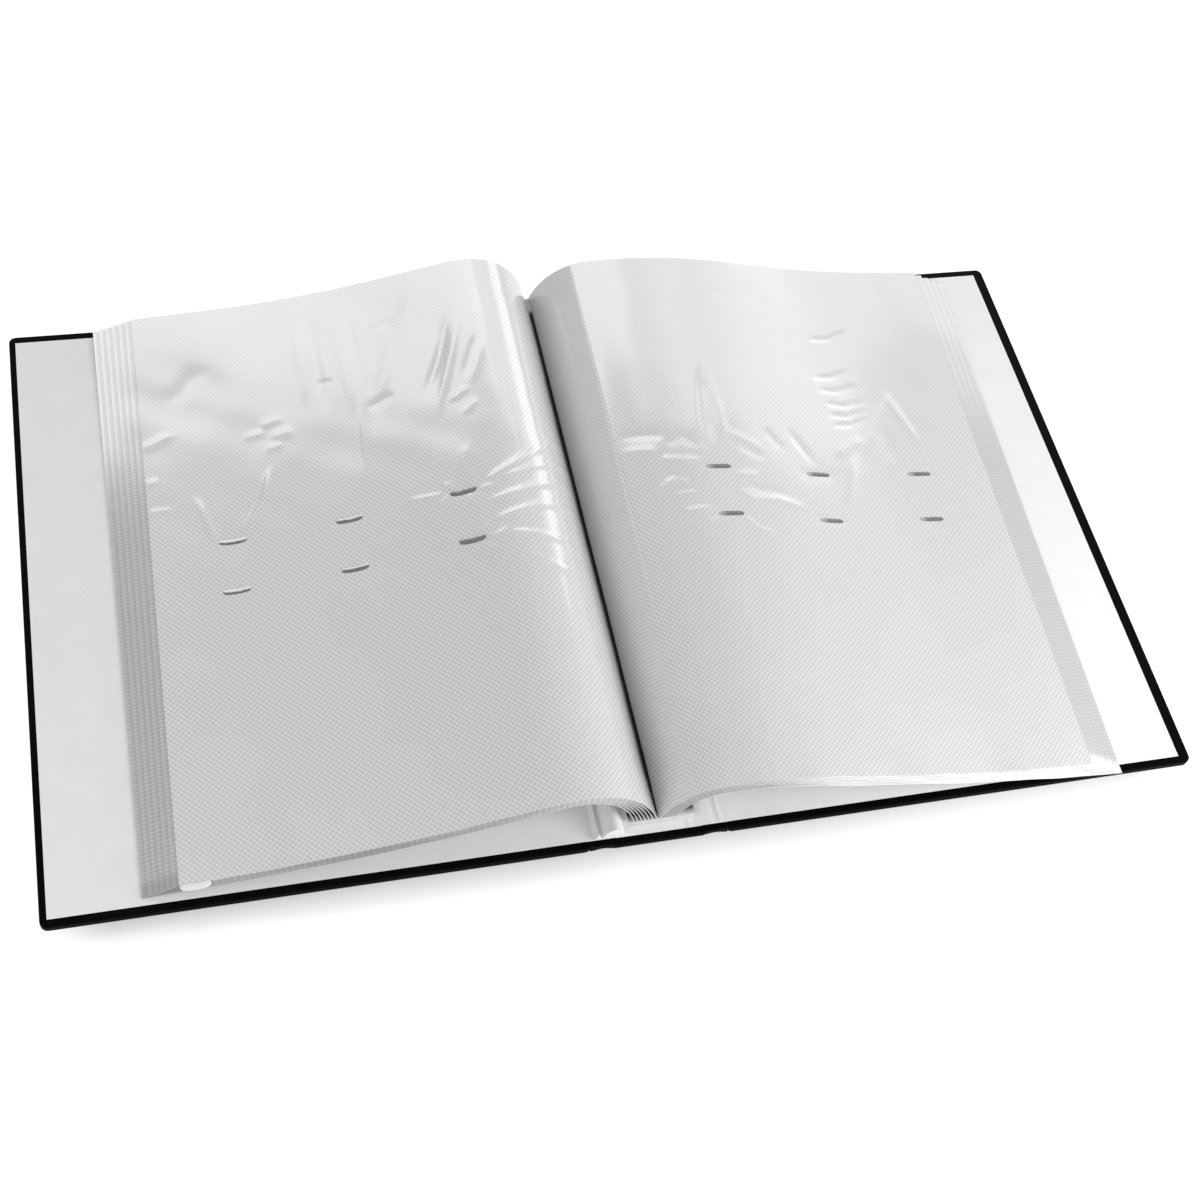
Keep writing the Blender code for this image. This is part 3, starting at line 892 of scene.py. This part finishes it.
def film_points(fan, leaf, s, y):
    """Points of a leaf's upper surface, in rows of distances s by columns of places y: the line's point,
    turned in its own plane, plus the relief along the line's normal."""
    line = leaf_line(fan, leaf)
    u, z, heading = (np.interp(s, line.s, values)[:, None] for values in (line.u, line.z, line.heading))
    share = (leaf - 1) / (fan.count - 1)
    spread = ease(s / SKEW_REACH)[:, None]
    pinch = ROOT_PINCH + TAIL_PINCH * (1 - ease((y - TAIL) / PINCH_REACH))
    pinch = pinch * (1 - ease(s / PINCH_REACH))[:, None]
    x = fan.sign * (u - pinch) + between(fan, leaf, fan.tilt) * spread * y
    place_y = y + between(fan, leaf, fan.sway) * spread * fan.sign * u
    twist = LEAST_TWIST + (1 - LEAST_TWIST) * share
    lift = spread * twist * twist_relief(fan, u, place_y) + share * slow_waves(fan, x, place_y)
    lift = lift + TAIL_WAVE[fan.name] * spread * tail_waves(x, y - TAIL, leaf)
    if leaf == fan.count:
        lift = lift + pucker_relief(x, place_y, DASHES[fan.name])
        lift = lift + wrinkle_relief(x, place_y, LEFT_WRINKLES if fan.sign < 0 else RIGHT_WRINKLES)
    if leaf == fan.count and fan.sign > 0:
        lift = lift + seam_relief(x, place_y)
    lifted_x = x - fan.sign * np.sin(heading) * lift
    return np.stack((lifted_x, place_y, z + np.cos(heading) * lift), axis=-1)


# %% [markdown]
# ## Leaves
# A lower leaf is one sheet from root to fore edge. The two top leaves of each side can be turned by hand.
# One sheet could follow only one of their joints, so their film is made in two pieces that meet at the
# turning line: a strip from the root and the page beyond it. All grids are finer towards the head, where
# most wrinkles are.

# %% Leaf pieces
BEND_START = 2 * MM
PAGE_BEND = 25 * MM
ROWS = {"leaf": 110, "strip": 56, "page": 184}
COLUMNS = {"plain": 90, "top": 262}
WRINKLED_FROM = -30 * MM
QUIET_SHARE = 0.5
DENSE_RAMP = 20 * MM
COLUMN_SAMPLES = 400


def columns_y(count):
    """Places along the spine, about half as dense below the wrinkled part of a page as in it."""
    y = np.linspace(TAIL, HEAD, COLUMN_SAMPLES)
    dense = np.cumsum(QUIET_SHARE + (1 - QUIET_SHARE) * ease((y - WRINKLED_FROM) / DENSE_RAMP))
    return np.interp(np.linspace(dense[0], dense[-1], count), dense, y)


def film_piece(name, fan, leaf, start, end, rows, columns, material):
    """Sleeve of a leaf between two distances. Its UV map holds metres across, and along counted from the
    fore edge."""
    s = np.linspace(start, end, rows)
    y = columns_y(columns)
    uv = np.stack(np.meshgrid(s + FORE_EDGE_S - leaf_line(fan, leaf).end, y, indexing="ij"), axis=-1)
    top = film_points(fan, leaf, s, y)
    made = shell(name, top, below(top, FILM_THICK), material, uv)
    return made


def line_point(fan, leaf, s):
    """Point of a leaf's middle line in the middle of its height."""
    line = leaf_line(fan, leaf)
    return (fan.sign * float(np.interp(s, line.s, line.u)), 0.0, float(np.interp(s, line.s, line.z)))


def turning_distance(fan, leaf):
    """Distance along a leaf at which its turning axis lies."""
    axis = joint[f"{fan.name}_page_turn_{max(leaf, fan.count - 1)}"]["pos_m"]
    line = leaf_line(fan, leaf)
    return float(np.interp(abs(axis[0]), line.u, line.s))


def whole_leaf(fan, leaf):
    """Lower leaf in one piece."""
    base = f"{fan.name}_leaf_{leaf}"
    end = leaf_line(fan, leaf).end
    film = under_films[fan.name]
    made = film_piece(base + "_sleeve", fan, leaf, 0.0, end, ROWS["leaf"], COLUMNS["plain"], film)
    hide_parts(base + "_stub", base + "_front_film", base + "_back_film")
    ends = line_point(fan, leaf, BEND_START), line_point(fan, leaf, turning_distance(fan, leaf))
    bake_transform(made)


def page_bodies(fan, leaf):
    """The two bodies that a turning page bends between, and the points where the bend starts and ends."""
    under = f"{fan.name}_page_{leaf - 1}" if leaf == fan.count else f"{fan.name}_strip_{leaf}"
    crease = turning_distance(fan, leaf)
    ends = line_point(fan, leaf, crease), line_point(fan, leaf, crease + PAGE_BEND)
    return under, f"{fan.name}_page_{leaf}", *ends


def turning_leaf(fan, leaf):
    """Top leaf in two pieces that meet at the turning line."""
    base = f"{fan.name}_leaf_{leaf}"
    crease = turning_distance(fan, leaf)
    film, columns, rows = under_films[fan.name], COLUMNS["plain"], ROWS["leaf"]
    if leaf == fan.count:
        film, columns, rows = page_films[fan.name], COLUMNS["top"], ROWS["page"]
    strip = film_piece(base + "_strip", fan, leaf, 0.0, crease, ROWS["strip"], columns, film)
    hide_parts(base + "_stub", base + "_hinge_strip")
    ends = line_point(fan, leaf, BEND_START), line_point(fan, leaf, crease)
    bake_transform(strip)
    page = film_piece(base + "_page", fan, leaf, crease, leaf_line(fan, leaf).end, rows, columns, film)
    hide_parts(base + "_front_film", base + "_back_film")
    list(page_bodies(fan, leaf))
    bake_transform(page)


for fan in (LEFT, RIGHT):
    for leaf in range(1, fan.count - 1):
        whole_leaf(fan, leaf)
    turning_leaf(fan, fan.count - 1)
    turning_leaf(fan, fan.count)

# %% [markdown]
# ## Weld dashes
# Two rows of short welds keep the upper and lower pockets apart. Each is a narrow melted bar that stands
# up a little. It could be painted on the film, but a bead catches the light from any side. Its near side
# is dark, and beyond a split across it a painted highlight stands for the light on its far side. A last
# one, all painted highlight, sits at the left page's tail corner, where the crumpled film catches the
# light.

# %% Weld dashes
DASH_WIDTH = {"left": 2.2 * MM, "right": 1.8 * MM}
DASH_SAG = {"left": 0.45 * MM, "right": 0.0}
DASH_HEIGHT = 0.25 * MM
DASH_LIFT = 0.04 * MM
DASH_STEPS = (44, 11)
WELD_HIGHLIGHT, WELD_FADED = 0.8, 0.5
SPLIT_BLUR = 0.2


def weld_finish(name, split, fading):
    """Melted film: dark on the near side of a split across the bar and a painted highlight beyond it,
    with one end that may fade."""
    made, start = new_finish(name)
    place = start.node("ShaderNodeUVMap", {}, uv_map=UV_NAME)
    along = start.node("ShaderNodeSeparateXYZ", {"Vector": place}, out=0)
    side = start.node("ShaderNodeSeparateXYZ", {"Vector": place}, out=1)
    spot = start.node("ShaderNodeTexCoord", {}, out="Object")
    melt = start.node("ShaderNodeTexNoise", {"Vector": spot, "Scale": 800.0, "Detail": 2.0})
    # Mask of the painted highlight on the bar's far side.
    light = (side + melt * 0.6 - 0.3).rise(split - SPLIT_BLUR, split + SPLIT_BLUR)
    faded = (1 - along.rise(-1.0, -0.3)) * fading
    tone = (melt * 0.12 + 0.08) * (1 - light) + light * WELD_HIGHLIGHT
    tone = tone + faded * (WELD_FADED - tone)
    colour = tone.mix(grey(0.0), grey(1.0))
    bump = start.node("ShaderNodeBump", {"Strength": 0.3, "Distance": 0.0002, "Height": melt})
    surface(start, base_color=colour, roughness=0.3, coat_weight=0.3, normal=bump)
    return made


# Copies of one weld with the painted highlight split at different places; the corner weld is all painted
# highlight.
pale_weld = weld_finish("pale_weld", -0.2, 0.0)
split_weld = weld_finish("split_weld", 0.15, 0.0)
dark_weld = weld_finish("dark_weld", 0.7, 0.0)
faded_weld = weld_finish("faded_weld", 1.5, 0.8)
white_weld = weld_finish("white_weld", -1.5, 0.0)
WELDS = {"left": (*(pale_weld, split_weld, dark_weld) * 2, white_weld), "right": (faded_weld,) * 6}


def weld_bar(fan, number):
    """Bead along a page: half an ellipse in section, narrowed to its ends by a root of one minus a high
    power, and sagging by a parabola in the middle."""
    dash_x, dash_y = DASHES[fan.name][number]
    line = leaf_line(fan, fan.count)
    centre = float(np.interp(abs(dash_x) * MM, line.u, line.s))
    t = np.linspace(-1.0, 1.0, DASH_STEPS[0])
    r = np.linspace(-1.0, 1.0, DASH_STEPS[1])
    across = (dash_y - fan.sway[1] * dash_x) * MM + r * DASH_WIDTH[fan.name] / 2
    rows = film_points(fan, fan.count, centre + t * DASH_LENGTH / 2, across)
    taper = np.sqrt(np.clip(1 - t**8, 0.02, 1.0))[:, None]
    middle = rows.mean(axis=1, keepdims=True)
    top = middle + (rows - middle) * taper[..., None]
    top[..., 1] -= DASH_SAG[fan.name] * (1 - t**2)[:, None]
    top[..., 2] += DASH_HEIGHT * taper * np.sqrt(1 - 0.98 * r**2) + DASH_LIFT
    uv = np.stack(np.broadcast_arrays(t[:, None], r), axis=-1)
    name = f"{fan.name}_weld_{number + 1}"
    made = shell(name, top, below(top, DASH_HEIGHT), WELDS[fan.name][number], uv)
    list(page_bodies(fan, fan.count))
    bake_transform(made)


for fan in (LEFT, RIGHT):
    for number in range(len(DASHES[fan.name])):
        weld_bar(fan, number)

# %% [markdown]
# ## Floor
# The album lies on a white table before a white backdrop. More light would make them white, but the pages
# would clip with them. So the world is white only where it is seen or mirrored, and part of what the
# camera sees of the floor is light of its own. Less of it along the tail paints a soft shadow there,
# over the real one.

# %% Floor and world
FLOOR_SIZE = 6.0
FLOOR_SHARE = 0.6
FRONT_SHARE = 0.11
FLOOR_OWN_LIGHT = 1.6
FLOOR_GREY = 0.8
FLOOR_DROP = 0.2 * MM
SHADOW_NEAR, SHADOW_FAR, SHADOW_SIDE = (-0.131, -0.115), (-0.10, -0.06), (0.17, 0.20)
WORLD_LEVEL = 0.44


def shown(start):
    """1 for rays that show the backdrop: straight from the camera, mirrored or passed through."""
    kinds = ("Is Camera Ray", "Is Glossy Ray", "Is Transmission Ray")
    seen, mirrored, passed = (start.node("ShaderNodeLightPath", {}, out=kind) for kind in kinds)
    return start.math("MINIMUM", seen + mirrored + passed, 1.0)


def floor_finish():
    """White floor: plain diffuse for the light, and partly its own light where the backdrop shows. The
    own light is held back along the tail, which paints a soft shadow there over the real one."""
    made, start = new_finish("white_floor")
    place = start.node("ShaderNodeTexCoord", {}, out="Object")
    across = start.node("ShaderNodeSeparateXYZ", {"Vector": place}, out=0)
    along = start.node("ShaderNodeSeparateXYZ", {"Vector": place}, out=1)
    # Painted shadow: a strip along the tail where the floor's own light is weaker.
    front = along.rise(*SHADOW_NEAR) * (1 - along.rise(*SHADOW_FAR))
    front = front * (1 - abs(across).rise(*SHADOW_SIDE))
    share = FLOOR_SHARE - front * (FLOOR_SHARE - FRONT_SHARE)
    plain = start.node("ShaderNodeBsdfDiffuse", {"Color": grey(FLOOR_GREY)})
    own = start.node("ShaderNodeEmission", {"Color": grey(1.0), "Strength": FLOOR_OWN_LIGHT})
    shader = start.node("ShaderNodeMixShader", {0: shown(start) * share, 1: plain, 2: own})
    start.node("ShaderNodeOutputMaterial", {"Surface": shader})
    return made


floor_corners = FLOOR_SIZE / 2 * np.array([[-1.0, -1, 0], [1, -1, 0], [1, 1, 0], [-1, 1, 0]])
floor = piece("floor", floor_corners - [0, 0, FLOOR_DROP], [[0, 1, 2, 3]], floor_finish())

world = bpy.data.worlds.new("studio")
bpy.context.scene.world = world
world.use_nodes = True
world.node_tree.nodes.clear()
sky = Shade(world.node_tree)
strength = shown(sky) * (1 - WORLD_LEVEL) + WORLD_LEVEL
backdrop = sky.node("ShaderNodeBackground", {"Color": grey(1.0), "Strength": strength})
sky.node("ShaderNodeOutputWorld", {"Surface": backdrop})

# %% [markdown]
# ## Light
# Film is judged by what it mirrors. One big light would make both pages alike, so three soft boxes stand
# in a row behind the album, dimmer to the right and so high that only the upper part of each page mirrors
# them. A low rim panel lights the left hump at the gutter. Panels in front and close by on the right fill
# in; the film doesn't mirror these two, so that a flat page keeps its tone when it is seen from behind.

# %% Soft lights
Panel = namedtuple("Panel", "name place target size brightness mirrored")
PANELS = (
    Panel("soft_box", (-0.065, 0.865, 0.795), (-0.065, 0.0, 0.0), (0.73, 0.34), 2.9, True),
    Panel("middle_box", (0.44, 0.865, 0.795), (0.44, 0.0, 0.0), (0.28, 0.34), 1.6, True),
    Panel("dim_box", (0.965, 0.892, 0.766), (0.965, 0.0, 0.0), (0.77, 0.26), 1.28, True),
    Panel("rim_panel", (0.72, 0.74, 0.36), (-0.02, 0.05, 0.02), (0.45, 0.3), 2.2, True),
    Panel("side_panel", (0.45, -0.34, 0.23), (0.10, -0.04, 0.0), (0.3, 0.3), 9.2, False),
    Panel("front_panel", (-0.50, -0.62, 0.35), (-0.08, 0.0, 0.0), (0.8, 0.4), 2.5, False),
)


def facing(place, target):
    """World matrix at a place whose -Z looks at the target, with its X axis level."""
    place = np.array(place)
    back = (place - target) / np.linalg.norm(place - target)
    level = np.cross((0, 0, 1), back)
    level /= np.linalg.norm(level)
    matrix = np.eye(4)
    matrix[:3] = np.stack((level, np.cross(back, level), back, place), axis=1)
    return Matrix(matrix.tolist())


def panel_light(panel):
    """Area light of one brightness: its power is pi times area times brightness."""
    data = bpy.data.lights.new(panel.name, "AREA")
    data.shape = "RECTANGLE"
    data.size, data.size_y = panel.size
    data.energy = math.pi * panel.size[0] * panel.size[1] * panel.brightness
    lamp = bpy.data.objects.new(panel.name, data)
    lamp.matrix_world = facing(panel.place, panel.target)
    lamp.visible_camera = False
    lamp.visible_glossy = panel.mirrored
    bpy.context.scene.collection.objects.link(lamp)
    print(panel.name, round(data.energy, 1), "W")


for panel in PANELS:
    panel_light(panel)

# %% [markdown]
# ## Camera
# The camera's place and directions were worked out from the four corners of the open cover, which fits
# better than turning it by eye. Its matrix is built from its right and up directions.

# %% Camera
CAMERA_PLACE = (-0.137187, -0.321870, 0.506012)
CAMERA_RIGHT = (0.9677402, -0.2110192, 0.1376583)
CAMERA_UP = (0.1082420, 0.8415941, 0.5291532)
LENS = 51.526
SENSOR = 36.0

view = bpy.data.cameras.new("photo_view")
view.lens = LENS
view.sensor_width = SENSOR
view.sensor_fit = "HORIZONTAL"
camera = bpy.data.objects.new("photo_view", view)
pose = np.eye(4)
camera_back = np.cross(CAMERA_RIGHT, CAMERA_UP)
pose[:3] = np.stack((CAMERA_RIGHT, CAMERA_UP, camera_back, CAMERA_PLACE), axis=1)
camera.matrix_world = Matrix(pose.tolist())
bpy.context.scene.collection.objects.link(camera)
bpy.context.scene.camera = camera
bpy.context.scene.view_settings.view_transform = "Standard"
print("camera looks down by", round(math.degrees(math.asin(camera_back[2]))), "degrees")

# %% Final update
bpy.context.view_layer.update()
